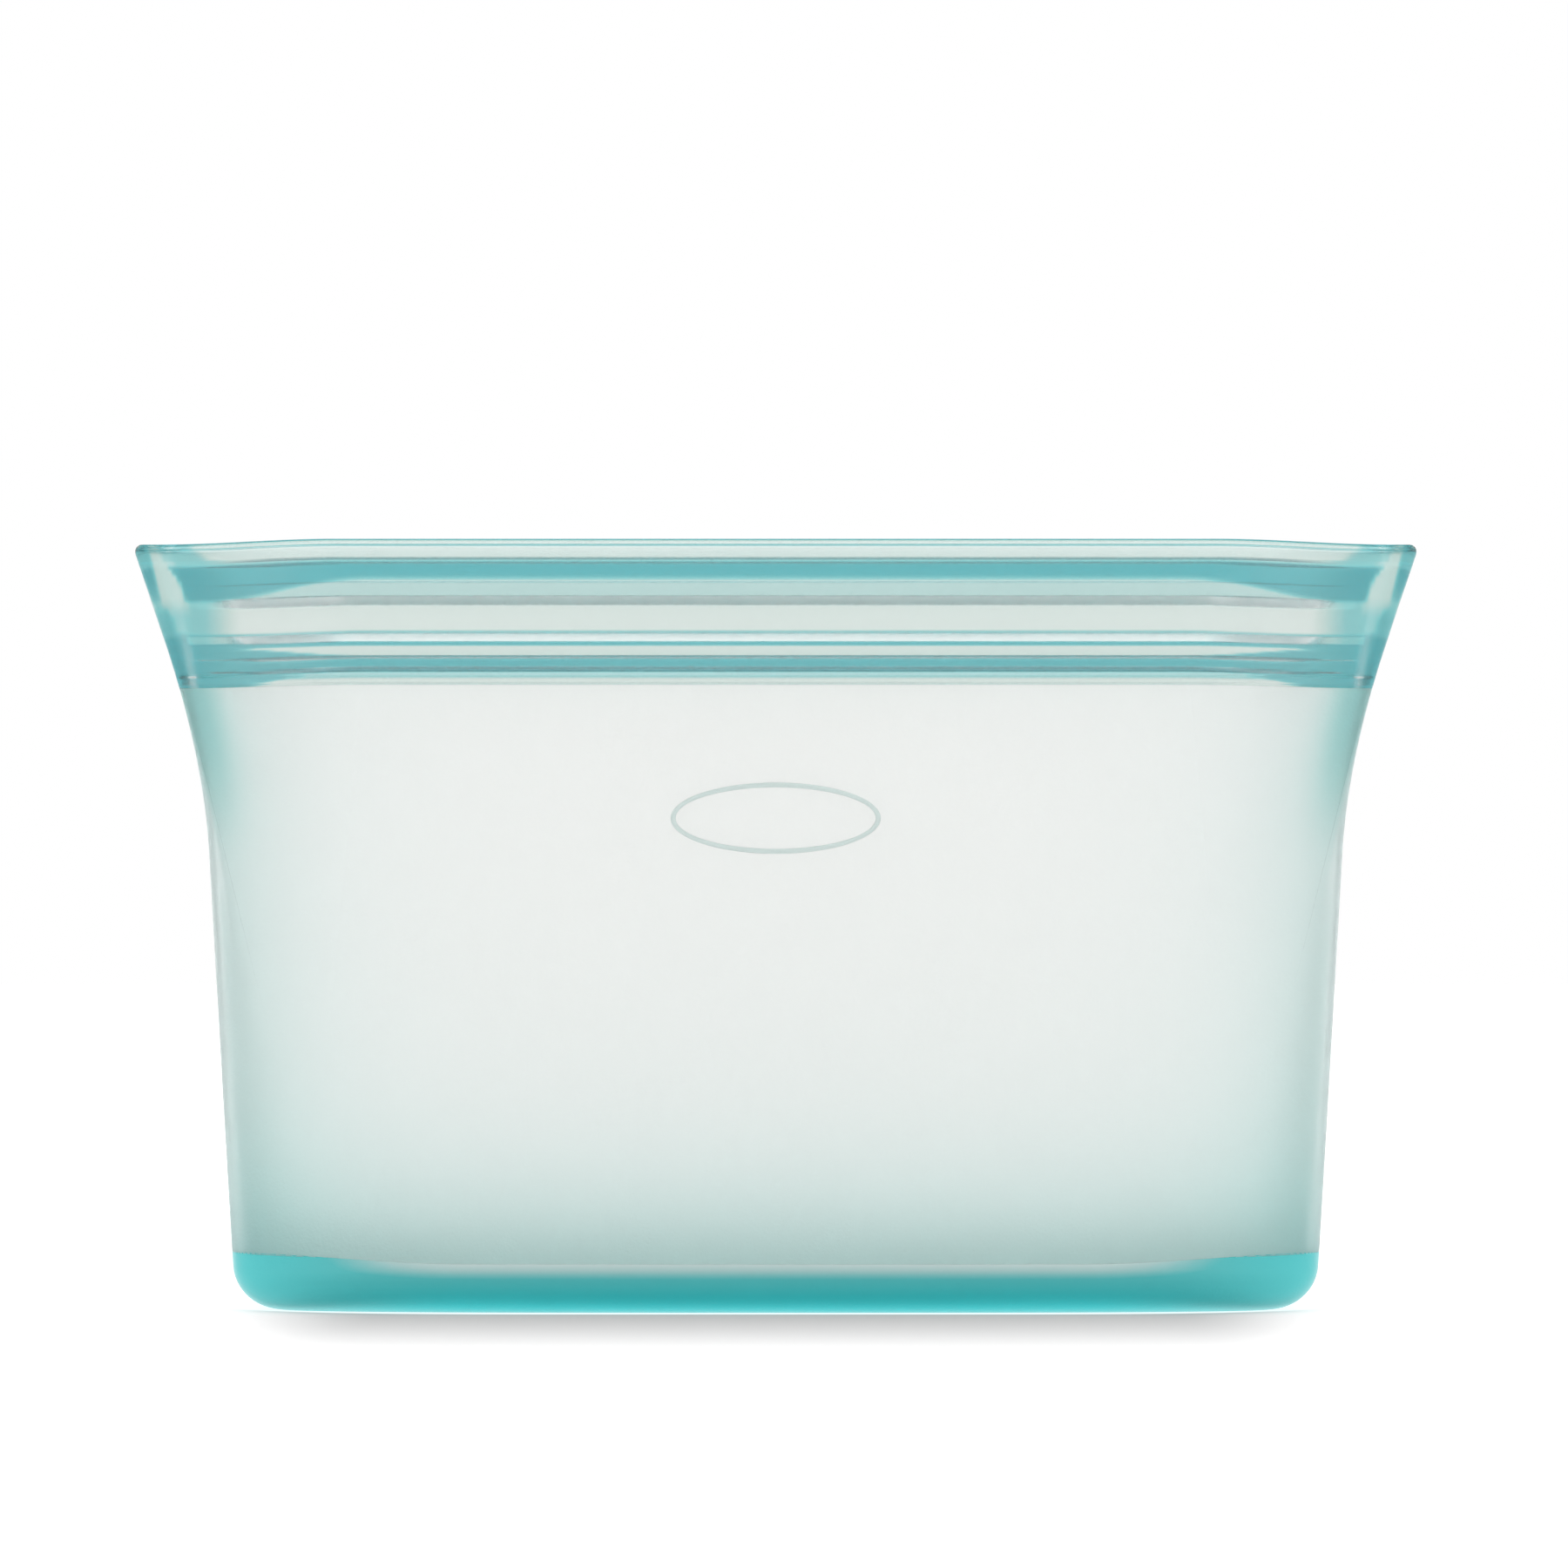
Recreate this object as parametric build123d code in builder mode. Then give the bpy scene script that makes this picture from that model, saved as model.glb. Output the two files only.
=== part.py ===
"""Reusable stand-up silicone bag with a press-to-close zip, split at the borders of its functional regions.

X runs along the mouth, the front faces -Y and +Z is up. The origin is the middle of the underside.
The front and back tracks move towards each other to close the mouth. Every other piece stays.
"""
from build123d import *
import os

# Overall sizes, in millimetres
BASE_HALF_WIDTH = 97.3
BASE_HALF_DEPTH = 44.0
MOUTH_HALF_DEPTH = 27.0
CLOSED_HALF_DEPTH = 4.3
WALL = 1.8
SIDE_TAPER = 0.0729
FLARE = 19.1
FLARE_FROM = 83.0
FLARE_TO = 188.4

# Base
FOOT_RADIUS = 8.0
FOOT_HEIGHT = 9.0
FOOT_INSET = 12.0
FOOT_LEVELS = (0, 1.0, 3.0, FOOT_RADIUS, FOOT_HEIGHT)
FLOOR_UNDERSIDE = 1.5
FLOOR_TOP = 5.0
FLOOR_SLOPE = 4.0      # how far the foot's inner face leans inwards at the floor
BASE_END_HALF = 24.0
BASE_SQUARENESS = 3.4

# Heights of the zip band
ZIP_BOTTOM = 113.2
LOWER_RAIL = (116.0, 118.4)
LOWER_CLAW = (119.1, 120.3)
TONGUE = (121.0, 129.3)
UPPER_CLAW = (130.0, 131.2)
UPPER_RAIL = (131.9, 135.3)
BEAD_BOTTOM = 138.5
RIM = 139.6

# Zip parts, measured inwards from the wall's inner face
LIP = 1.5
BEAD = 2.3
RIDGE_REACH = 4.0

# Plan shape of the mouth: flat in the middle, a smooth bend, then the fused corner
BEND_LENGTH = 34.0
CORNER_BOTTOM = 0.8
CORNER_TOP = 4.8
CENTRE_HALF = 72.0
GAP = 0.3              # between the moving middle and the curved ends
END_WALL_FROM = 90.0   # X where the end walls start

# Sections and points that the curved surfaces are drawn through
WALL_LEVELS = (FOOT_HEIGHT, 30.0, 60.0, 90.0, ZIP_BOTTOM)
POINTS = 9             # points in half of a section
POINT_CROWDING = 1.6   # above 1, the points stand closer together towards the ends
BAND_LEVELS = (ZIP_BOTTOM, *LOWER_RAIL, *LOWER_CLAW, *TONGUE, *UPPER_CLAW, *UPPER_RAIL, BEAD_BOTTOM, RIM)
BIG = 400.0            # beyond the bag in every direction


def smooth(u):
    """Smooth step from 0 to 1."""
    u = min(max(u, 0.0), 1.0)
    return u * u * (3 - 2 * u)


def half_width(z):
    """Half of the bag's width at height z: a straight taper with a flare to the mouth's corners."""
    return BASE_HALF_WIDTH + SIDE_TAPER * z + FLARE * smooth((z - FLARE_FROM) / (FLARE_TO - FLARE_FROM))


def corner_edge(z):
    """X of the inner edge of the fused corner, which is narrow at the bottom and wide at the top."""
    share = (z - ZIP_BOTTOM) / (RIM - ZIP_BOTTOM)
    return half_width(z) - CORNER_BOTTOM - (CORNER_TOP - CORNER_BOTTOM) * share


def mouth_depth(x, z):
    """Distance of the band's outer face from the middle plane at x, in the zip band."""
    bend = smooth((corner_edge(z) - abs(x)) / BEND_LENGTH)
    return CLOSED_HALF_DEPTH + (MOUTH_HALF_DEPTH - CLOSED_HALF_DEPTH) * bend


def base_depth(share):
    """Distance of the outer face from the middle plane at the foot, at a share of the half width."""
    curve = (1 - share**BASE_SQUARENESS) ** (1 / BASE_SQUARENESS)
    return BASE_END_HALF + (BASE_HALF_DEPTH - BASE_END_HALF) * curve


def outline_points(z, inset):
    """Points of the front half of a level section, from the left end to the right end."""
    rise = max(z - FOOT_HEIGHT, 0) / (ZIP_BOTTOM - FOOT_HEIGHT)
    points = []
    for i in range(-POINTS, POINTS + 1):
        share = i / POINTS
        share = (1 - (1 - abs(share)) ** POINT_CROWDING) * (1 if share > 0 else -1)
        wide = share * half_width(z)
        low = base_depth(abs(share))
        depth = low + (mouth_depth(wide, ZIP_BOTTOM) - low) * rise
        points.append((share * (half_width(z) - inset), -(depth - inset)))
    return points


def level_section(z, inset=0.0, height=None):
    """The body's closed section at z, moved inwards by inset, drawn at that height or at another."""
    front = outline_points(z, inset)
    back = [(x, -y) for x, y in front]
    with BuildSketch(Plane.XY.offset(z if height is None else height)) as section:
        with BuildLine():
            Spline(front)
            Spline(back)
            Line(front[0], back[0])
            Line(front[-1], back[-1])
        make_face()
    return section.sketch


def foot_inset(z):
    """How far the rounded foot edge draws in at height z."""
    drop = max(FOOT_RADIUS - z, 0)
    return FOOT_RADIUS - (FOOT_RADIUS**2 - drop**2) ** 0.5


def save(piece, name):
    """Labels a finished piece and writes it."""
    piece.label = name
    export_step(piece, f"parts/{name}.step")


def body_shell():
    """The whole wall between the foot and the zip band, as one open tube."""
    with BuildPart() as shell:
        loft([level_section(z) for z in WALL_LEVELS])
        loft([level_section(z, WALL) for z in WALL_LEVELS], mode=Mode.SUBTRACT)
    return shell.part


def region(part, low, high):
    """The piece of a part that lies inside a box."""
    with BuildPart() as piece:
        add(part)
        middle = tuple((low[i] + high[i]) / 2 for i in range(3))
        with Locations(middle):
            Box(*[high[i] - low[i] for i in range(3)], mode=Mode.INTERSECT)
    return piece.part


def walls():
    """The four walls of the body."""
    shell = body_shell()
    save(region(shell, (-END_WALL_FROM, -BIG, 0), (END_WALL_FROM, 0, BIG)), "front_wall")
    save(region(shell, (-END_WALL_FROM, 0, 0), (END_WALL_FROM, BIG, BIG)), "back_wall")
    save(region(shell, (-BIG, -BIG, 0), (-END_WALL_FROM, BIG, BIG)), "left_end_wall")
    save(region(shell, (END_WALL_FROM, -BIG, 0), (BIG, BIG, BIG)), "right_end_wall")


def foot():
    """The thick rounded foot ring and the floor inside it."""
    with BuildPart() as foot_ring:
        loft([level_section(z, foot_inset(z)) for z in FOOT_LEVELS])
        extrude(level_section(0, FOOT_INSET), amount=FLOOR_TOP, mode=Mode.SUBTRACT)
        loft(
            [level_section(FLOOR_TOP, FLOOR_SLOPE), level_section(FOOT_HEIGHT, WALL)],
            mode=Mode.SUBTRACT,
        )
    save(foot_ring.part, "foot_ring")
    with BuildPart() as base_floor:
        floor_plan = level_section(0, FOOT_INSET, height=FLOOR_UNDERSIDE)
        extrude(floor_plan, amount=FLOOR_TOP - FLOOR_UNDERSIDE)
    save(base_floor.part, "base_floor")


def band_section(z, side, near, far):
    """A strip of the band in plan at height z, from the centre piece to the fused corner.

    near and far are distances inwards from the band's outer face; side is -1 for the front.
    """
    length = corner_edge(z) - CENTRE_HALF
    xs = [CENTRE_HALF + length * i / POINTS for i in range(POINTS + 1)]
    outer = [(x, side * (mouth_depth(x, z) - near)) for x in xs]
    inner = [(x, side * (mouth_depth(x, z) - far)) for x in xs]
    with BuildSketch(Plane.XY.offset(z)) as section:
        with BuildLine():
            Spline(outer)
            Spline(inner)
            Line(outer[0], inner[0])
            Line(outer[-1], inner[-1])
        make_face()
    return section.sketch


def band_ends(name, side, low, high, near, far):
    """The curved right and left ends of one strip of the band."""
    levels = [z for z in BAND_LEVELS if low <= z <= high]
    with BuildPart() as right:
        loft([band_section(z, side, near, far) for z in levels], ruled=True)
    with BuildPart() as left:
        mirror(right.part, about=Plane.YZ)
    save(right.part, f"{name}_right")
    save(left.part, f"{name}_left")


def band_centre(name, side, low, high, near, far):
    """The straight middle of one strip of the band, which moves."""
    with BuildPart() as centre:
        middle = side * (MOUTH_HALF_DEPTH - (near + far) / 2)
        with Locations((0, middle, (low + high) / 2)):
            Box(2 * (CENTRE_HALF - GAP), far - near, high - low)
    save(centre.part, name)


def corners():
    """The two fused corners, where the front and back of the band are one piece."""
    with BuildPart() as right:
        with BuildSketch(Plane.XZ.offset(-CLOSED_HALF_DEPTH)):
            with BuildLine():
                Spline([(half_width(z), z) for z in BAND_LEVELS])
                Polyline([(corner_edge(z), z) for z in BAND_LEVELS])
                Line((corner_edge(ZIP_BOTTOM), ZIP_BOTTOM), (half_width(ZIP_BOTTOM), ZIP_BOTTOM))
                Line((corner_edge(RIM), RIM), (half_width(RIM), RIM))
            make_face()
        extrude(amount=2 * CLOSED_HALF_DEPTH)
    with BuildPart() as left:
        mirror(right.part, about=Plane.YZ)
    save(right.part, "right_corner")
    save(left.part, "left_corner")


def band():
    """The zip band: on each side a web, the ridges on its inner face, a lip and a rim bead.

    The front has two rails with the tongue between them. The back has two thin claws, which enter
    the two gaps beside the tongue when the mouth is closed.
    """
    ridges = {
        "front": {"lower_rail": LOWER_RAIL, "tongue": TONGUE, "upper_rail": UPPER_RAIL},
        "back": {"lower_claw": LOWER_CLAW, "upper_claw": UPPER_CLAW},
    }
    for side, name in ((-1, "front"), (1, "back")):
        strips = {
            "web": (ZIP_BOTTOM, UPPER_RAIL[1], 0, WALL),
            "lip": (UPPER_RAIL[1], BEAD_BOTTOM, 0, LIP),
            "bead": (BEAD_BOTTOM, RIM, 0, BEAD),
        }
        for ridge, levels in ridges[name].items():
            strips[ridge] = (*levels, WALL, WALL + RIDGE_REACH)
        for part, (low, high, near, far) in strips.items():
            band_ends(f"{name}_{part}", side, low, high, near, far)
            start = low + GAP if part == "web" else low
            band_centre(f"{name}_{part}", side, start, high, near, far)


os.makedirs("parts", exist_ok=True)
walls()
foot()
corners()
band()
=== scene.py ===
"""Reusable silicone bag: the looks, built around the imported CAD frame.

Lengths are millimetres, and MM turns them into metres where a mesh is made. Only the materials' and the
studio's lengths are metres. The front faces -Y.

Each wall and each half of a side of the zip band has an outer and an inner face at their real distance, so
that light passes through it as it does through silicone. The faces stay open where a piece meets the next
one, so no seam shows. The foot and floor are one closed solid.
"""
import math

import bmesh
import bpy
import numpy as np
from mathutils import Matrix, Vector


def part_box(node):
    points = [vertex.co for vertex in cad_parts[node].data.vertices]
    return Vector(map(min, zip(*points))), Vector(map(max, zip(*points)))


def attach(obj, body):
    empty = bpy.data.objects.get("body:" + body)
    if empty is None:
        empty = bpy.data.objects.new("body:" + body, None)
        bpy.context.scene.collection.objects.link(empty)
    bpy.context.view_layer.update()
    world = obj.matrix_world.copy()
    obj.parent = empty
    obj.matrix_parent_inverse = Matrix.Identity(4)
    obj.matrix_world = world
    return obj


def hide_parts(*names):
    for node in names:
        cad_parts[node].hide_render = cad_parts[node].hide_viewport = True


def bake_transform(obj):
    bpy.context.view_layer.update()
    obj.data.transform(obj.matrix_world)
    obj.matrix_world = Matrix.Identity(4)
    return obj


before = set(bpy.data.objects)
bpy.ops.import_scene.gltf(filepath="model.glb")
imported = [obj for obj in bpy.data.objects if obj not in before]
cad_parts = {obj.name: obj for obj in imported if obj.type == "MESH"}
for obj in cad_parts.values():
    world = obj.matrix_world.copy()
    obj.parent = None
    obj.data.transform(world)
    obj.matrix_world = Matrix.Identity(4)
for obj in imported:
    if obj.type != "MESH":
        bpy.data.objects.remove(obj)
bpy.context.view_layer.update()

MM = 0.001


def node_box(node):
    """A CAD node's lowest and highest corner, in millimetres."""
    low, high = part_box(node)
    return np.array(low) / MM, np.array(high) / MM


FOOT_HIGH = node_box("foot_ring")[1]
FLOOR_LOW, FLOOR_HIGH = node_box("base_floor")
CORNER_LOW, CORNER_HIGH = node_box("right_corner")
WEB_LOW, WEB_HIGH = node_box("front_web")
RAIL_LOW, RAIL_HIGH = node_box("front_upper_rail")
LOWER_LOW, LOWER_HIGH = node_box("front_lower_rail")
TONGUE_LOW, TONGUE_HIGH = node_box("front_tongue")
UPPER_CLAW_LOW, UPPER_CLAW_HIGH = node_box("back_upper_claw")
LOWER_CLAW_LOW, LOWER_CLAW_HIGH = node_box("back_lower_claw")
BEAD_LOW, BEAD_HIGH = node_box("front_bead")

# Outline of the body, as in the CAD
SIDE_TAPER = 0.0729
FLARE = 19.1
FLARE_FROM = 83.0
FLARE_TO = 188.4
FOOT_HEIGHT = FOOT_HIGH[2]
FOOT_RADIUS = 8.0
FOOT_INSET = 12.0
BASE_HALF_WIDTH = FOOT_HIGH[0] - SIDE_TAPER * FOOT_HEIGHT
BASE_HALF_DEPTH = FOOT_HIGH[1]
BASE_END_HALF = 24.0
BASE_SQUARENESS = 3.4
ZIP_BOTTOM = CORNER_LOW[2]
RIM = CORNER_HIGH[2]
CLOSED_HALF_DEPTH = CORNER_HIGH[1]
MOUTH_HALF_DEPTH = -WEB_LOW[1]
WALL = WEB_HIGH[1] - WEB_LOW[1]
BEND_LENGTH = 34.0
CORNER_BOTTOM = 0.8
CORNER_SLOPE = 0.179      # how far the bend's start moves outwards for each millimetre up the band
WALL_SLOPE = 0.276        # the same in the wall below
END_RADIUS = 1.8          # rounding of the bag's ends at the zip
TIP_RADIUS = 2.2          # rounding of the corners' tips
RIDGE_FADE = 20.0         # length over which the ridges run out before a corner
BLEND_FROM = 20.0         # height where the pieces beside a wall's middle piece start, and up to which the rows near the foot are lifted
SEAM = 0.01               # half of the hidden gap between two pieces
SEAM_RISE = 1.7           # how much higher the foot reaches at the ends than in the middle
SEAM_RISE_FROM = 56.0     # X where that rise starts
SEAM_RISE_LENGTH = 40.0
INSIDE_FROM = 1.2         # a point of the band deeper than this belongs to its inner face

# How finely the meshes are divided
ROWS = 40                 # rows of points in a wall, from foot to zip
MIDDLE_COLUMNS = 61       # columns of points in the middle piece of a wall
EDGE_COLUMNS = 19         # and in the pieces beside it
RING_POINTS = 40          # points in a quarter of a level ring
FLAT_POINTS = 13          # points across a flat end, from front to back
CORNER_POINTS = 22        # points round a corner of an end wall


def smooth(u):
    """Smooth step from 0 to 1."""
    u = np.clip(u, 0, 1)
    return u * u * (3 - 2 * u)


def half_width(z):
    """Half of the bag's width at height z: a straight taper with a flare to the mouth's corners."""
    return BASE_HALF_WIDTH + SIDE_TAPER * z + FLARE * smooth((z - FLARE_FROM) / (FLARE_TO - FLARE_FROM))


EDGE_AT_ZIP = half_width(ZIP_BOTTOM) - CORNER_BOTTOM


def band_edge(z):
    """X where the band ends and the fused corner starts."""
    return EDGE_AT_ZIP + CORNER_SLOPE * (z - ZIP_BOTTOM)


def wall_edge(z):
    """X where the front and back walls end and the end wall starts."""
    return EDGE_AT_ZIP + WALL_SLOPE * (z - ZIP_BOTTOM)


def middle_edge(z):
    """X where the middle piece of a wall ends and the pieces beside it start."""
    return wall_edge(z) - BEND_LENGTH * np.clip((z - BLEND_FROM) / (ZIP_BOTTOM - BLEND_FROM), 0, 1)


def mouth_depth(x, z):
    """Distance of the band's outer face from the middle plane."""
    bend = smooth((band_edge(z) - np.abs(x)) / BEND_LENGTH)
    return CLOSED_HALF_DEPTH + (MOUTH_HALF_DEPTH - CLOSED_HALF_DEPTH) * bend


def base_depth(share):
    """Distance of the foot's outer face from the middle plane, at a share of the half width."""
    curve = np.clip(1 - np.clip(share, 0, 1) ** BASE_SQUARENESS, 0, 1) ** (1 / BASE_SQUARENESS)
    return BASE_END_HALF + (BASE_HALF_DEPTH - BASE_END_HALF) * curve


def rise_at(z):
    """0 at the top of the foot and 1 at the bottom of the zip."""
    return np.clip((z - FOOT_HEIGHT) / (ZIP_BOTTOM - FOOT_HEIGHT), 0, 1)


def wall_depth(x, z):
    """Distance of the wall's outer face from the middle plane."""
    low = base_depth(np.abs(x) / half_width(z))
    return low + (mouth_depth(x, ZIP_BOTTOM) - low) * rise_at(z)


def round_off(x, z):
    """How far the outer face draws in beside the bag's edge, where its end is rounded."""
    radius = END_RADIUS * rise_at(z) + 1e-6
    over = np.clip(np.abs(x) - (half_width(z) - radius), 0, radius)
    return radius - np.sqrt(radius**2 - over**2)


def seam_lift(x):
    """How far the join between foot and wall rises towards the bag's ends."""
    return SEAM_RISE * smooth((np.abs(x) - SEAM_RISE_FROM) / SEAM_RISE_LENGTH)


def tip_in(z):
    """How far the corner's tip draws in near the rim, where it is rounded."""
    over = np.clip(z - (RIM - TIP_RADIUS), 0, TIP_RADIUS)
    return TIP_RADIUS - np.sqrt(TIP_RADIUS**2 - over**2)


# ---------------------------------------------------------------- depth of colour

def between(value, low, high, soft):
    """1 between two limits and 0 outside them, with soft edges of the given width."""
    return smooth((value - low) / soft + 0.5) * smooth((high - value) / soft + 0.5)


def wall_colour(x, z):
    """Depth of colour of a wall: deeper just above the foot, towards the ends and under the corners."""
    foot = np.clip((ZIP_BOTTOM - z) / (ZIP_BOTTOM - FOOT_HEIGHT), 0, 1)
    from_edge = half_width(z) - np.abs(x)
    near_zip = 0.3 * smooth((z - 78) / 30) * np.exp(-((from_edge - 3) / 4) ** 2)
    near_foot = 0.1 * foot**4 * np.exp(-from_edge / 9)
    ends = 0.17 * np.exp(-from_edge / 13)
    low = 0.03 * foot**2 + 0.22 * foot**9
    return low + ends + near_zip + near_foot


def base_colour(x, z):
    """Depth of colour of the foot: deep low down and pale at its top, and even towards the ends."""
    heights = (0, 0.4, 0.9, 2, 4, 7.5, FOOT_HEIGHT)
    depths = (0.7, 0.9, 1, 1, 0.74, 0.38, 0.12)
    middle = np.interp(z, heights, depths)
    at_ends = 0.58
    return middle + (at_ends - middle) * smooth((np.abs(x) - 55) / 35)


def corner_mass(x, z, between_rails, at_tip):
    """Depth of colour where the ridges run together before a corner, and at its tip up to the rim."""
    mass = between_rails * smooth((x - 92) / 14) * between(z, LOWER_LOW[2] - 2, RAIL_HIGH[2] + 1.4, 1)
    return np.maximum(mass, at_tip * smooth((x - 105 + 1.2 * np.minimum(RIM - z, 4)) / 4))


def front_band_colour(x, z):
    """Depth of colour of the front's ridges, deepest in the two rails, which widen towards the corners."""
    widen = smooth((x - 74) / 30)
    upper = between(z, RAIL_LOW[2] + 0.4 - 3.6 * widen, RAIL_HIGH[2] + 0.6, 2.0)
    lower = 0.95 * between(z, LOWER_LOW[2] - 0.2 - 2.6 * widen, LOWER_HIGH[2] + 0.1 + 2.0 * widen, 0.6)
    under = 0.58 * between(z, LOWER_LOW[2] - 1.6, LOWER_LOW[2], 0.3)
    shoulder = 0.42 * between(z, TONGUE_HIGH[2] - 1.7, TONGUE_HIGH[2] + 0.3, 0.4)
    step = 0.95 * between(z, TONGUE_LOW[2] - 0.65, TONGUE_LOW[2] + 0.35, 0.25)
    line = 0.8 * between(z, TONGUE_LOW[2] + 1.6, TONGUE_LOW[2] + 2.0, 0.2)
    mass = corner_mass(x, z, 0.6, 0.6)
    fin = 0.8 * smooth((x - (half_width(z) - 3.2)) / 0.8)
    fin = np.maximum(fin, smooth((x - (half_width(z) - 6)) / 2) * (1 - smooth((z - 122) / 4)))
    gap = 0.45 * between(z, TONGUE_HIGH[2], RAIL_LOW[2], 0.4)
    foot = 0.45 * between(z, TONGUE_LOW[2] + 0.3, TONGUE_LOW[2] + 2.0, 0.4)
    rest = 0.24 - 0.06 * between(z, TONGUE_LOW[2] + 2, TONGUE_HIGH[2] - 1.7, 0.4)
    return np.maximum.reduce([upper, lower, under, shoulder, step, line, mass, fin, gap, foot, rest])


def back_band_colour(x, z):
    """Depth of colour of the back's ridges."""
    upper = between(z, UPPER_CLAW_LOW[2], UPPER_CLAW_HIGH[2], 0.5)
    lower = between(z, LOWER_CLAW_LOW[2], LOWER_CLAW_HIGH[2], 0.5)
    mass = corner_mass(x, z, 0.45, 0.4)
    return np.maximum.reduce([0.4 * upper, 0.4 * lower, mass, 0.08 + 0 * x])


def corner_paleness(x, z):
    """1 where the fused corner is pale: a facet beside its upper edge."""
    from_edge = half_width(z) - x
    high = np.clip((z - 127) / 11, 0, 1)
    return between(from_edge, 1.3 + 1.3 * high, 6.6 - 2 * smooth((z - 132) / 6), 0.9) * smooth((z - 126) / 4)


# ---------------------------------------------------------------- meshes

def new_object(name, points, faces, colour, sharp=40):
    """A smooth-shaded mesh object from points in millimetres, with a depth of colour for each point.

    Blender can't tell the inside of an open mesh, so its faces are turned outwards by its signed volume.
    """
    mesh = bpy.data.meshes.new(name)
    mesh.from_pydata((np.asarray(points) * MM).tolist(), [], faces)
    depths = mesh.attributes.new("colour_depth", "FLOAT", "POINT")
    depths.data.foreach_set("value", np.ravel(colour).astype(np.float32))
    work = bmesh.new()
    work.from_mesh(mesh)
    bmesh.ops.remove_doubles(work, verts=work.verts, dist=1e-7)
    if work.calc_volume(signed=True) < 0:
        bmesh.ops.reverse_faces(work, faces=work.faces)
    work.to_mesh(mesh)
    work.free()
    mesh.shade_smooth()
    mesh.set_sharp_from_angle(angle=math.radians(sharp))
    piece = bpy.data.objects.new(name, mesh)
    bpy.context.scene.collection.objects.link(piece)
    return piece


def shell(name, outer, inner, colour):
    """The two faces of a wall, from two grids of points of the same size.

    It stays open round its edges, which meet its neighbours' edges, so no seam shows through it. Its
    outer face has half of the inner face's depth of colour.
    """
    rows, columns = outer.shape[:2]
    points = np.concatenate([outer.reshape(-1, 3), inner.reshape(-1, 3)])
    other = rows * columns
    faces = []
    for r in range(rows - 1):
        for c in range(columns - 1):
            a, b = r * columns + c, r * columns + c + 1
            d, e = a + columns, b + columns
            faces.append((a, b, e, d))
            faces.append((other + d, other + e, other + b, other + a))
    return new_object(name, points, faces, np.concatenate([0.5 * colour.ravel(), colour.ravel()]))


def sweep(name, rings, colour, open_start=False):
    """A solid through a row of closed rings with the same number of points, closed at its ends.

    open_start leaves out the first end, where another piece carries on from the same ring.
    """
    count = len(rings[0])
    points = np.concatenate(rings)
    faces = []
    for r in range(len(rings) - 1):
        for i in range(count):
            j = (i + 1) % count
            low, high = r * count, (r + 1) * count
            faces.append((low + i, low + j, high + j, high + i))
    if not open_start:
        faces.append(tuple(range(count - 1, -1, -1)))
    faces.append(tuple(range((len(rings) - 1) * count, len(rings) * count)))
    return new_object(name, points, faces, colour, sharp=50)


# ---------------------------------------------------------------- walls

def wall_rows(low, high):
    """Heights of the rows of points between two heights. Both pieces at a seam share them."""
    heights = np.unique(np.append(np.linspace(FOOT_HEIGHT, ZIP_BOTTOM, ROWS), BLEND_FROM))
    return heights[(heights > low - 1e-6) & (heights < high + 1e-6)]


def lifted(x, z):
    """Heights of points of the wall, moved up near the foot to follow the join's curve."""
    return z + seam_lift(x) * np.clip((BLEND_FROM - z) / (BLEND_FROM - FOOT_HEIGHT), 0, 1)


def wall_patch(name, side, left, right, heights, columns):
    """A piece of the front (side -1) or back wall between two edges, each a function of height.

    The edges are followed again once the rows near the foot are lifted.
    """
    z = np.clip(heights, FOOT_HEIGHT + SEAM, ZIP_BOTTOM - SEAM)[:, None] * np.ones((1, columns))
    share = np.linspace(0, 1, columns)[None, :]
    x = left(z) + (right(z) - left(z)) * share
    z = lifted(x, z)
    x = left(z) + (right(z) - left(z)) * share
    depth = wall_depth(x, z)
    outer = np.stack([x, side * depth, z], axis=2)
    inner = np.stack([x, side * (depth - WALL), z], axis=2)
    return shell(name, outer, inner, wall_colour(x, z))


def end_patch(name, hand):
    """An end wall (hand 1 is the right), round from the front wall's edge to the back wall's edge."""
    heights = np.clip(wall_rows(FOOT_HEIGHT, ZIP_BOTTOM), FOOT_HEIGHT + SEAM, ZIP_BOTTOM - SEAM)
    outer, inner = [], []
    q = np.linspace(0, 1, CORNER_POINTS)
    for height in heights:
        z = lifted(wall_edge(height) + (half_width(height) - wall_edge(height)) * q, height)
        start, end = wall_edge(z) + SEAM, half_width(z)
        x = end - (end - start) * (1 - q) ** BASE_SQUARENESS
        depth = wall_depth(x, z) - round_off(x, z)
        flat = np.linspace(-1, 1, FLAT_POINTS)[1:-1]
        y = np.concatenate([-depth, flat * depth[-1], depth[::-1]])
        x = np.concatenate([x, end[-1] + 0 * flat, x[::-1]])
        z = np.concatenate([z, z[-1] + 0 * flat, z[::-1]])
        line = np.stack([x, y], axis=1)
        along = np.gradient(line, axis=0)
        normal = np.stack([-along[:, 1], along[:, 0]], axis=1)
        normal /= np.linalg.norm(normal, axis=1)[:, None]
        straight = np.stack([0 * y, -np.sign(y)], axis=1)
        from_end = np.minimum(np.arange(len(y)), np.arange(len(y))[::-1])
        mix = smooth(from_end / 8)[:, None]
        way = straight * (1 - mix) + normal * mix
        way /= np.linalg.norm(way, axis=1)[:, None]
        inside = line + way * WALL
        outer.append(np.column_stack([hand * line[:, 0], line[:, 1], z]))
        inner.append(np.column_stack([hand * inside[:, 0], inside[:, 1], z]))
    outer = np.array(outer)
    return shell(name, outer, np.array(inner), wall_colour(outer[:, :, 0], outer[:, :, 2]))


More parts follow.
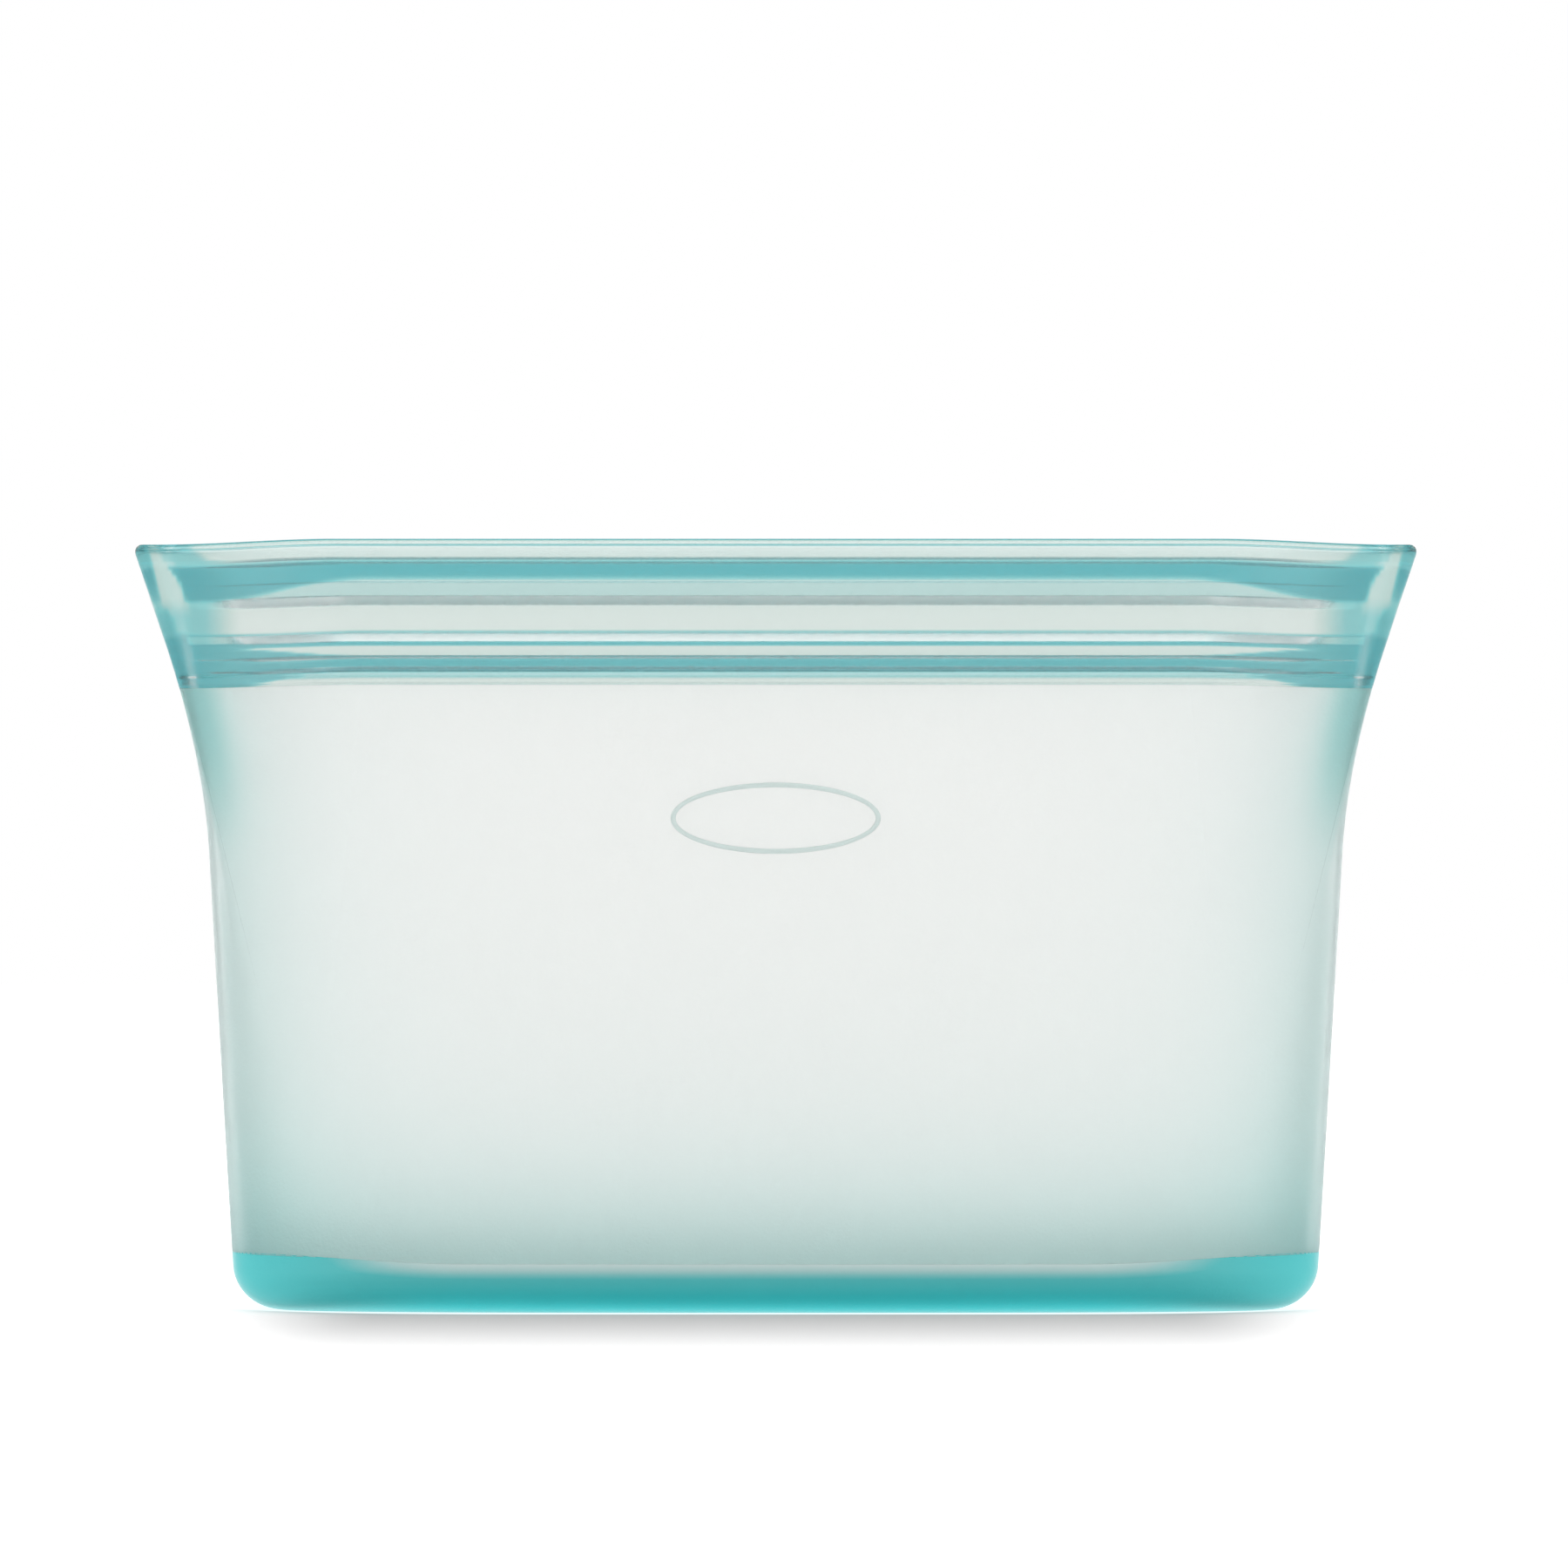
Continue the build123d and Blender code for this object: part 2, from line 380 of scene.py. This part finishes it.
def make_walls():
    """Front and back walls in three pieces each, and the two end walls."""
    every = wall_rows(FOOT_HEIGHT, ZIP_BOTTOM)
    upper = wall_rows(BLEND_FROM, ZIP_BOTTOM)
    for side, name in ((-1, "front"), (1, "back")):
        middle = wall_patch(
            f"{name}_wall_middle", side,
            lambda z: -middle_edge(z) + SEAM, lambda z: middle_edge(z) - SEAM, every, MIDDLE_COLUMNS,
        )
        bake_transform(middle)
        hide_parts(f"{name}_wall")
        middle.data.materials.append(WALL_SILICONE)
        for hand, word in ((-1, "left"), (1, "right")):
            edge = wall_patch(
                f"{name}_wall_{word}", side,
                lambda z, hand=hand: hand * (middle_edge(z) + SEAM),
                lambda z, hand=hand: hand * (wall_edge(z) - SEAM), upper, EDGE_COLUMNS,
            )
            bend_by_width(edge)
            edge.data.materials.append(WALL_SILICONE)
    for hand, word in ((-1, "left"), (1, "right")):
        end = end_patch(f"{word}_end", hand)
        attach(end, "root")
        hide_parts(f"{word}_end_wall")
        end.data.materials.append(WALL_SILICONE)


def bend_by_width(piece):
    """Bakes a piece's place into its mesh."""
    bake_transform(piece)


# ---------------------------------------------------------------- foot and floor

def level_ring(level, inset, height=None, lift=0):
    """The body's closed outline at a level, moved inwards by inset, at that height or at another.

    With lift 1 the ring follows the curve of the join between foot and wall.
    """
    q = np.linspace(0, 1, RING_POINTS)
    x = half_width(level) * (1 - (1 - q) ** BASE_SQUARENESS)
    z = level + lift * seam_lift(x)
    wide = half_width(z)
    x = wide * (1 - (1 - q) ** BASE_SQUARENESS)
    depth = wall_depth(x, z)
    x = x * (wide - inset) / wide
    depth = depth - inset
    if height is not None:
        z = height + 0 * x
    flat = np.linspace(-1, 1, FLAT_POINTS)[1:-1]
    right = [np.concatenate([x, x[-1] + 0 * flat]), np.concatenate([-depth, flat * depth[-1]])]
    x = np.concatenate([right[0], x[::-1][:-1], -right[0], -x[::-1][:-1]])
    y = np.concatenate([right[1], depth[::-1][:-1], -right[1], -depth[::-1][:-1]])
    z = np.concatenate([z, z[-1] + 0 * flat, z[::-1][:-1]] * 2)
    return np.column_stack([x, y, z])


def make_base():
    """The rounded foot and the floor in one closed solid, with a recess under the floor."""
    under, top = FLOOR_LOW[2], FLOOR_HIGH[2]
    rings = [level_ring(0, inset, under) for inset in (21, 17.5, 14.2)]
    rings.append(level_ring(0, FOOT_INSET + 1.4, under * 0.75))
    rings.append(level_ring(0, FOOT_INSET, 0.25))
    rings.append(level_ring(0, FOOT_INSET - 0.5, 0))
    for angle in np.linspace(0, 90, 15):
        turn = math.radians(angle)
        z = FOOT_RADIUS * (1 - math.cos(turn))
        rings.append(level_ring(z, FOOT_RADIUS * (1 - math.sin(turn))))
    rings.append(level_ring(FOOT_HEIGHT, 0, lift=1))
    inner_from = len(rings)
    rings.append(level_ring(FOOT_HEIGHT, WALL, lift=1))
    fillet = 4.0
    for angle in np.linspace(8, 90, 9):
        turn = math.radians(angle)
        z = top + fillet * (1 - math.sin(turn))
        rings.append(level_ring(z, WALL + fillet * (1 - math.cos(turn))))
    rings += [level_ring(0, inset, top) for inset in (12, 16, 21)]
    colours = [base_colour(ring[:, 0], ring[:, 2]) for ring in rings[:inner_from]]
    pale_inside = 0.05
    colours += [np.full(len(ring), pale_inside) for ring in rings[inner_from:]]
    base = sweep("base", rings, np.concatenate(colours))
    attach(base, "root")
    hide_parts("foot_ring", "base_floor")
    base.data.materials.append(BASE_SILICONE)


# ---------------------------------------------------------------- zip band

def outer_profile():
    """Outside of the band from the bottom up, as (distance inwards, height)."""
    step = ZIP_BOTTOM + 1.9
    lip = RAIL_HIGH[2] + 0.5
    return [
        (0, ZIP_BOTTOM + SEAM), (-0.12, ZIP_BOTTOM + 0.15), (-0.42, ZIP_BOTTOM + 0.5), (-0.45, step - 0.3),
        (-0.4, step - 0.1), (-0.05, step + 0.25), (0, step + 0.6), (0, lip), (0.18, lip + 0.6),
        (0.2, BEAD_LOW[2] - 0.25), (0.15, BEAD_LOW[2] - 0.1), (-0.2, BEAD_LOW[2] + 0.1),
        (-0.25, BEAD_HIGH[2] - 0.5), (-0.1, BEAD_HIGH[2] - 0.1), (0.3, BEAD_HIGH[2]),
    ]


def rim_profile():
    """Inside of the rim bead and the lip, from the top down."""
    return [
        (1.5, BEAD_HIGH[2]), (1.85, BEAD_HIGH[2] - 0.15), (1.95, BEAD_LOW[2] + 0.25),
        (1.6, BEAD_LOW[2] - 0.1), (1.5, BEAD_LOW[2] - 0.4), (1.5, RAIL_HIGH[2] + 1.1),
        (1.7, RAIL_HIGH[2] + 0.5),
    ]


def front_profile():
    """The front side: outside, rim, upper rail, tongue and lower rail."""
    tip = RAIL_HIGH[1] - WEB_LOW[1]
    crest = (TONGUE_LOW[2] + 1.7, TONGUE_HIGH[2] - 1.6)
    points = outer_profile() + rim_profile()
    points += [
        (WALL, RAIL_HIGH[2] + 0.1), (WALL + 0.1, RAIL_HIGH[2]), (tip - 0.2, RAIL_HIGH[2] - 0.02),
        (tip - 0.05, RAIL_HIGH[2] - 0.07), (tip, RAIL_HIGH[2] - 0.2), (tip, RAIL_LOW[2] + 0.2),
        (tip - 0.05, RAIL_LOW[2] + 0.07), (tip - 0.2, RAIL_LOW[2] + 0.02), (WALL + 0.1, RAIL_LOW[2]),
        (WALL, RAIL_LOW[2] - 0.1),
        (WALL, TONGUE_HIGH[2] + 0.1), (WALL + 0.35, TONGUE_HIGH[2] - 0.1),
        (tip - 0.5, crest[1] + 0.25), (tip - 0.1, crest[1] + 0.05), (tip, crest[1] - 0.15),
        (tip, crest[0] + 0.2), (tip - 0.1, crest[0] + 0.05), (tip - 0.4, crest[0] - 0.1),
        (tip - 0.9, crest[0] - 0.2), (WALL + 0.3, TONGUE_LOW[2] + 0.15), (WALL, TONGUE_LOW[2] - 0.1),
        (WALL, LOWER_HIGH[2] + 0.15), (WALL + 0.15, LOWER_HIGH[2]), (tip - 0.5, LOWER_HIGH[2] - 0.1),
        (tip - 0.1, LOWER_HIGH[2] - 0.35), (tip, LOWER_HIGH[2] - 0.8), (tip - 0.1, LOWER_LOW[2] + 0.7),
        (tip - 0.6, LOWER_LOW[2] + 0.2), (WALL + 0.6, LOWER_LOW[2] - 0.1), (WALL + 0.1, LOWER_LOW[2] - 0.5),
        (WALL, ZIP_BOTTOM + 1), (WALL, ZIP_BOTTOM + SEAM),
    ]
    return points


def back_profile():
    """The back side: outside, rim and the two claws that enter the gaps beside the tongue."""
    tip = WEB_HIGH[1] - WEB_LOW[1] + RAIL_HIGH[1] - RAIL_LOW[1]
    points = outer_profile() + rim_profile()
    points += [(WALL, RAIL_HIGH[2] - 0.6)]
    for low, high in ((UPPER_CLAW_LOW[2], UPPER_CLAW_HIGH[2]), (LOWER_CLAW_LOW[2], LOWER_CLAW_HIGH[2])):
        points += [
            (WALL, high + 0.1), (WALL + 0.1, high), (tip - 0.12, high), (tip, high - 0.12),
            (tip, low + 0.12), (tip - 0.12, low), (WALL + 0.1, low), (WALL, low - 0.1),
        ]
    points += [(WALL, ZIP_BOTTOM + 1), (WALL, ZIP_BOTTOM + SEAM)]
    return points


def band_rings(side, hand, profile):
    """Rings of half of one side of the band and of the corner's half, from the middle to the tip.

    The inner face comes to the middle plane between join_from and join_to, measured from the tip.
    """
    inwards, z = profile
    inside = inwards > INSIDE_FROM
    fused = CLOSED_HALF_DEPTH - SEAM
    edge, tip = band_edge(z), half_width(z) - tip_in(z)
    high = (z - ZIP_BOTTOM) / (RIM - ZIP_BOTTOM)
    join_from, join_to = 5 + 3.5 * high, 2.2 * high
    straight = 0.62
    stations = [edge * share for share in np.linspace(0, straight, 9)[:-1]]
    stations += [edge * share for share in np.linspace(straight, 1, 60)]
    stations += [edge + (tip - edge) * math.sin(turn) for turn in np.linspace(0, math.pi / 2, 14)[1:]]
    for x in stations:
        fade = 1 - smooth((x - (edge - RIDGE_FADE - 2)) / RIDGE_FADE)
        n = np.where(inwards > WALL, WALL + (inwards - WALL) * fade, inwards)
        join = smooth((x - (tip - join_from)) / (join_from - join_to))
        n = np.where(inside, n + (fused - n) * join, n + round_off(x, z))
        yield np.column_stack([hand * x, side * (mouth_depth(x, z) - n), z])


def close_spaced(profile, spacing=0.45, support=0.05):
    """The profile with points added on its longer straight stretches, so that it can carry fine lines.

    Each stretch also gets a point close to either end, which keeps the shading of its bends narrow.
    """
    points = []
    for here, there in zip(profile, profile[1:] + profile[:1]):
        length = math.dist(here, there)
        count = max(math.ceil(length / spacing), 1)
        shares = [i / count for i in range(count)]
        if length > 4 * support:
            shares += [support / length, 1 - support / length]
        for share in sorted(shares):
            points.append([a + (b - a) * share for a, b in zip(here, there)])
    return np.array(points).T


def make_band_half(name, side, hand, profile, colour_at):
    """Half of one side of the zip band, with its half of the fused corner."""
    profile = close_spaced(profile)
    inside = profile[0] > INSIDE_FROM
    rings = list(band_rings(side, hand, profile))
    facet_depth = 0.33
    colours = []
    for ring in rings:
        x, z = hand * ring[:, 0], ring[:, 2]
        depth = colour_at(x, z)
        depth = depth + (facet_depth - depth) * corner_paleness(x, z)
        rim = 0.8 * between(z, RIM - 0.25, RIM + 1, 0.15)
        rim = rim + 0.45 * between(z, BEAD_LOW[2] - 0.2, BEAD_LOW[2] + 0.15, 0.1)
        colours.append(np.where(inside, np.maximum(depth, rim), 0.03 + rim))
    return sweep(name, rings, np.concatenate(colours), open_start=True)


def make_band():
    """The four halves of the zip band's two sides."""
    ridges = {"front": ("upper_rail", "tongue", "lower_rail"), "back": ("upper_claw", "lower_claw")}
    sides = ((-1, "front", front_profile(), front_band_colour), (1, "back", back_profile(), back_band_colour))
    for side, name, profile, colour_at in sides:
        for hand, word in ((-1, "left"), (1, "right")):
            piece = make_band_half(f"{name}_band_{word}", side, hand, profile, colour_at)
            bend_by_width(piece)
            strips = ("web", "lip", "bead") + ridges[name]
            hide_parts(*[f"{name}_{strip}_{word}" for strip in strips])
            if side < 0:
                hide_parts(f"{word}_corner")
            if hand > 0:
                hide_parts(*[f"{name}_{strip}" for strip in strips])
            piece.data.materials.append(ZIP_SILICONE)


def make_emblem():
    """A plain raised oval outline on the front wall."""
    middle, half_wide, half_high = 89.0, 18.5, 6.0
    section = ((-0.45, 0.03), (-0.4, 0.25), (-0.22, 0.36), (0.22, 0.36), (0.4, 0.25), (0.45, 0.03))
    rings = []
    for turn in np.linspace(0, 2 * math.pi, 97)[:-1]:
        ring = []
        for across, proud in section:
            x = (half_wide + across) * math.cos(turn)
            z = middle + (half_high + across) * math.sin(turn)
            ring.append((x, -(wall_depth(x, z) + proud), z))
        rings.append(np.array(ring))
    count = len(rings[0])
    points = np.concatenate(rings)
    faces = []
    for r in range(len(rings)):
        after = (r + 1) % len(rings)
        for i in range(count):
            j = (i + 1) % count
            faces.append((r * count + i, r * count + j, after * count + j, after * count + i))
    piece = new_object("front_oval", points, faces, np.full(len(points), 0.1))
    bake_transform(piece)
    piece.data.materials.append(WALL_SILICONE)


# ---------------------------------------------------------------- materials

# Tints at each depth of colour
WALL_TINTS = (
    (0, (0.965, 0.97, 0.96)),
    (0.3, (0.52, 0.79, 0.77)),
    (0.65, (0.13, 0.5, 0.53)),
    (1, (0.015, 0.26, 0.31)),
)
ZIP_TINTS = (
    (0, (0.9, 0.91, 0.895)),
    (0.3, (0.55, 0.69, 0.66)),
    (0.65, (0.08, 0.5, 0.54)),
    (1, (0.01, 0.25, 0.31)),
)
THICK_TINTS = (
    (0, (0.85, 0.93, 0.91)),
    (0.3, (0.5, 0.74, 0.73)),
    (0.5, (0.1, 0.6, 0.61)),
    (1, (0.005, 0.62, 0.65)),
)

# The floor glows less in a patch ahead of the foot, from a line that follows the foot. In metres.
PATCH_FRONT = 0.044        # where the line is at the middle
PATCH_CURVE = 0.02         # how far back it goes at the foot's ends
PATCH_ENDS = 10.3          # 1 / X of the foot's ends
PATCH_SQUARENESS = 6
PATCH_HALF_WIDTH = 0.07    # half of the width over which the patch has its full depth
PATCH_REACH = 0.2          # distance over which the glow comes back
BEHIND_FACTOR = 50         # how many times sooner it comes back behind the line
BESIDE_FACTOR = 5          # how many times sooner it comes back at the sides
PATCH_GLOW = 0.2
FLOOR_GLOW = 0.85


def silicone_material(name, stops, density, clear, roughness, grain_depth):
    """Teal silicone: rough glass with a fine frosted grain.

    The stops give the tint at each depth of colour. density is the absorption inside a closed piece, and
    clear is the share of light that passes instead of being scattered back.
    """
    material = bpy.data.materials.new(name)
    material.use_nodes = True
    nodes, links = material.node_tree.nodes, material.node_tree.links
    shader = nodes["Principled BSDF"]
    shader.inputs["Transmission Weight"].default_value = clear
    shader.inputs["IOR"].default_value = 1.41
    thickness = nodes.new("ShaderNodeAttribute")
    thickness.attribute_name = "colour_depth"
    ramp = nodes.new("ShaderNodeValToRGB")
    ramp.color_ramp.elements[0].color = (*stops[0][1], 1)
    ramp.color_ramp.elements[1].color = (*stops[-1][1], 1)
    for place, colour in stops[1:-1]:
        ramp.color_ramp.elements.new(place).color = (*colour, 1)
    links.new(thickness.outputs["Fac"], ramp.inputs["Fac"])
    links.new(ramp.outputs["Color"], shader.inputs["Base Color"])
    place = nodes.new("ShaderNodeTexCoord")
    grain = nodes.new("ShaderNodeTexNoise")
    grain.inputs["Scale"].default_value = 1800
    grain.inputs["Detail"].default_value = 3
    links.new(place.outputs["Object"], grain.inputs["Vector"])
    bump = nodes.new("ShaderNodeBump")
    bump.inputs["Strength"].default_value = grain_depth
    bump.inputs["Distance"].default_value = 0.0002
    links.new(grain.outputs["Fac"], bump.inputs["Height"])
    links.new(bump.outputs["Normal"], shader.inputs["Normal"])
    cloud = nodes.new("ShaderNodeTexNoise")
    cloud.inputs["Scale"].default_value = 60
    links.new(place.outputs["Object"], cloud.inputs["Vector"])
    spread = nodes.new("ShaderNodeMapRange")
    spread.inputs["To Min"].default_value = roughness - 0.05
    spread.inputs["To Max"].default_value = roughness + 0.05
    links.new(cloud.outputs["Fac"], spread.inputs["Value"])
    links.new(spread.outputs["Result"], shader.inputs["Roughness"])
    if density:
        volume = nodes.new("ShaderNodeVolumeAbsorption")
        volume.inputs["Color"].default_value = (0.0, 0.84, 0.85, 1)
        volume.inputs["Density"].default_value = density
        links.new(volume.outputs["Volume"], nodes["Material Output"].inputs["Volume"])
    return material


def floor_material():
    """White floor that glows as if lit from all sides, and less in a patch in front of the bag.

    The patch stands for the soft contact shadow. It lies still on the floor.
    """
    material = bpy.data.materials.new("studio_floor")
    material.use_nodes = True
    nodes, links = material.node_tree.nodes, material.node_tree.links
    shader = nodes["Principled BSDF"]
    shader.inputs["Base Color"].default_value = (0.4, 0.4, 0.4, 1)
    shader.inputs["Emission Color"].default_value = (1, 1, 1, 1)
    shader.inputs["Roughness"].default_value = 0.9
    shader.inputs["Specular IOR Level"].default_value = 0.0

    def value(operation, first, *others):
        """A node that works out one value from another node's output and plain numbers."""
        node = nodes.new("ShaderNodeMath")
        node.operation = operation
        links.new(first, node.inputs[0])
        for i, other in enumerate(others):
            if isinstance(other, (int, float)):
                node.inputs[i + 1].default_value = other
            else:
                links.new(other, node.inputs[i + 1])
        return node.outputs["Value"]

    place = nodes.new("ShaderNodeTexCoord")
    split = nodes.new("ShaderNodeSeparateXYZ")
    links.new(place.outputs["Object"], split.inputs["Vector"])
    x, y = value("ABSOLUTE", split.outputs["X"]), split.outputs["Y"]
    bend = value("POWER", value("MULTIPLY", x, PATCH_ENDS), PATCH_SQUARENESS)
    line = value("MULTIPLY_ADD", bend, -PATCH_CURVE, PATCH_FRONT)
    ahead = value("SUBTRACT", value("MULTIPLY", y, -1), line)
    behind = value("MULTIPLY", ahead, -BEHIND_FACTOR)
    along = value("MAXIMUM", value("MAXIMUM", ahead, behind), 0)
    past_width = value("MAXIMUM", value("SUBTRACT", x, PATCH_HALF_WIDTH), 0)
    sideways = value("MULTIPLY", past_width, BESIDE_FACTOR)
    distance = value("SQRT", value("ADD", value("POWER", sideways, 2), value("POWER", along, 2)))
    glow = nodes.new("ShaderNodeMapRange")
    glow.interpolation_type = "SMOOTHSTEP"
    glow.inputs["From Max"].default_value = PATCH_REACH
    glow.inputs["To Min"].default_value = PATCH_GLOW
    glow.inputs["To Max"].default_value = FLOOR_GLOW
    links.new(distance, glow.inputs["Value"])
    links.new(glow.outputs["Result"], shader.inputs["Emission Strength"])
    return material


# ---------------------------------------------------------------- studio

def make_camera():
    """A long lens, level, in front of the bag."""
    camera = bpy.data.objects.new("camera", bpy.data.cameras.new("camera"))
    bpy.context.scene.collection.objects.link(camera)
    camera.location = (0.0015, -1.5, 0.0697)
    camera.rotation_euler = (math.radians(90), 0, 0)
    camera.data.lens = 187
    camera.data.sensor_width = 36
    camera.data.shift_y = 0.09
    bpy.context.scene.camera = camera


def area_light(name, place, aim, size, power):
    """A rectangular softbox at a place, turned to face the point that it aims at."""
    light = bpy.data.objects.new(name, bpy.data.lights.new(name, "AREA"))
    bpy.context.scene.collection.objects.link(light)
    light.data.shape = "RECTANGLE"
    light.data.size, light.data.size_y = size
    light.data.energy = power
    light.location = place
    way = np.array(aim) - np.array(place)
    pitch = math.atan2(math.hypot(way[0], way[1]), -way[2])
    light.rotation_euler = (pitch, 0, math.atan2(way[1], way[0]) - math.pi / 2)


def make_floor():
    """A large pale floor."""
    mesh = bpy.data.meshes.new("floor")
    size = 8.0
    corners = [(-size, -size, 0), (size, -size, 0), (size, size, 0), (-size, size, 0)]
    mesh.from_pydata(corners, [], [(0, 1, 2, 3)])
    floor = bpy.data.objects.new("floor", mesh)
    bpy.context.scene.collection.objects.link(floor)
    floor.data.materials.append(floor_material())


def make_world():
    """Soft light from all sides, a little stronger from behind. The camera sees it as plain white."""
    world = bpy.data.worlds.new("studio")
    bpy.context.scene.world = world
    world.use_nodes = True
    nodes, links = world.node_tree.nodes, world.node_tree.links
    background = nodes["Background"]
    place = nodes.new("ShaderNodeTexCoord")
    split = nodes.new("ShaderNodeSeparateXYZ")
    links.new(place.outputs["Generated"], split.inputs["Vector"])
    ramp = nodes.new("ShaderNodeMapRange")
    ramp.interpolation_type = "SMOOTHSTEP"
    ramp.inputs["From Min"].default_value = -0.5
    ramp.inputs["From Max"].default_value = 0.3
    ramp.inputs["To Min"].default_value = 0.92
    ramp.inputs["To Max"].default_value = 1.12
    links.new(split.outputs["Y"], ramp.inputs["Value"])
    path = nodes.new("ShaderNodeLightPath")
    pick = nodes.new("ShaderNodeMix")
    links.new(path.outputs["Is Camera Ray"], pick.inputs["Factor"])
    links.new(ramp.outputs["Result"], pick.inputs["A"])
    pick.inputs["B"].default_value = 1.0
    links.new(pick.outputs["Result"], background.inputs["Strength"])
    background.inputs["Color"].default_value = (1, 1, 1, 1)


WALL_SILICONE = silicone_material(
    "frosted_silicone", WALL_TINTS, density=0, clear=0.83, roughness=0.36, grain_depth=0.25,
)
ZIP_SILICONE = silicone_material(
    "satin_silicone", ZIP_TINTS, density=0, clear=0.97, roughness=0.24, grain_depth=0.08,
)
BASE_SILICONE = silicone_material(
    "thick_silicone", THICK_TINTS, density=12, clear=0.15, roughness=0.30, grain_depth=0.2,
)
make_camera()
make_floor()
make_world()
area_light("back_softbox", place=(0, 0.45, 1.5), aim=(0, 0, 0), size=(1.8, 1.2), power=5)
bpy.context.scene.view_settings.view_transform = "Standard"
make_walls()
make_base()
make_band()
make_emblem()
